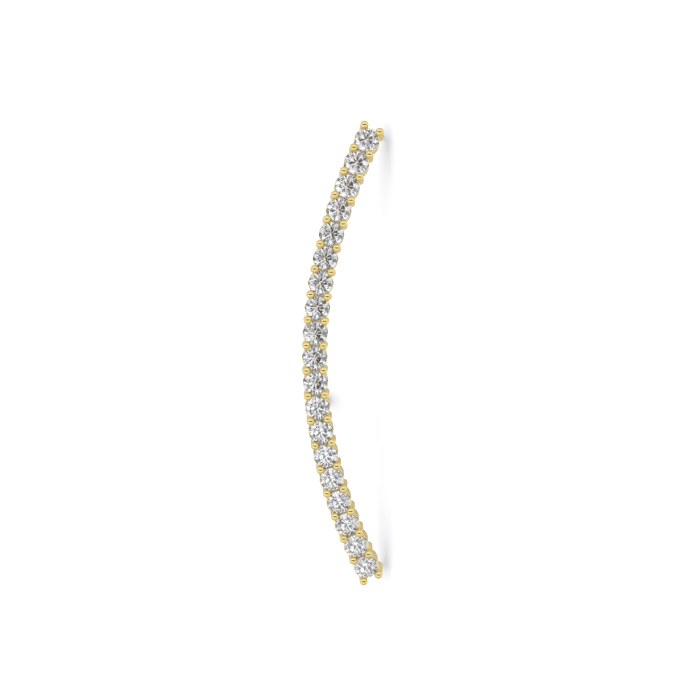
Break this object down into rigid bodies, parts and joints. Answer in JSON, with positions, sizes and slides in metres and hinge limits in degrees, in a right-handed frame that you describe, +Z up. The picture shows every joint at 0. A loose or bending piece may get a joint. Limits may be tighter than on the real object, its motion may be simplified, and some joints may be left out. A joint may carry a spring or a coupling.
{
  "type": "ear climber",
  "caption": "Slim curved ear climber: a row of small round brilliant-cut stones in yellow gold cups with ball prongs between them, on one straight ear post.",
  "frame": {"origin": "on the table, under the middle of the piece's box, as the piece rests by itself", "axes": "+X runs along the row to its upper end, the stones face -Y and a little up, the post points to +Y and down, +Z is up"},
  "size_m": [0.0304, 0.012, 0.0059],
  "materials": {
    "gold": "polished yellow gold",
    "stone": "clear colourless faceted stone"
  },
  "bodies": {
    "root": {"setting": "gold", "stone_01": "stone", "stone_02": "stone", "stone_03": "stone", "stone_04": "stone", "stone_05": "stone", "stone_06": "stone", "stone_07": "stone", "stone_08": "stone", "stone_09": "stone", "stone_10": "stone", "stone_11": "stone", "stone_12": "stone", "stone_13": "stone", "stone_14": "stone", "stone_15": "stone", "stone_16": "stone", "stone_17": "stone", "stone_18": "stone", "stone_19": "stone"}
  },
  "joints": []
}
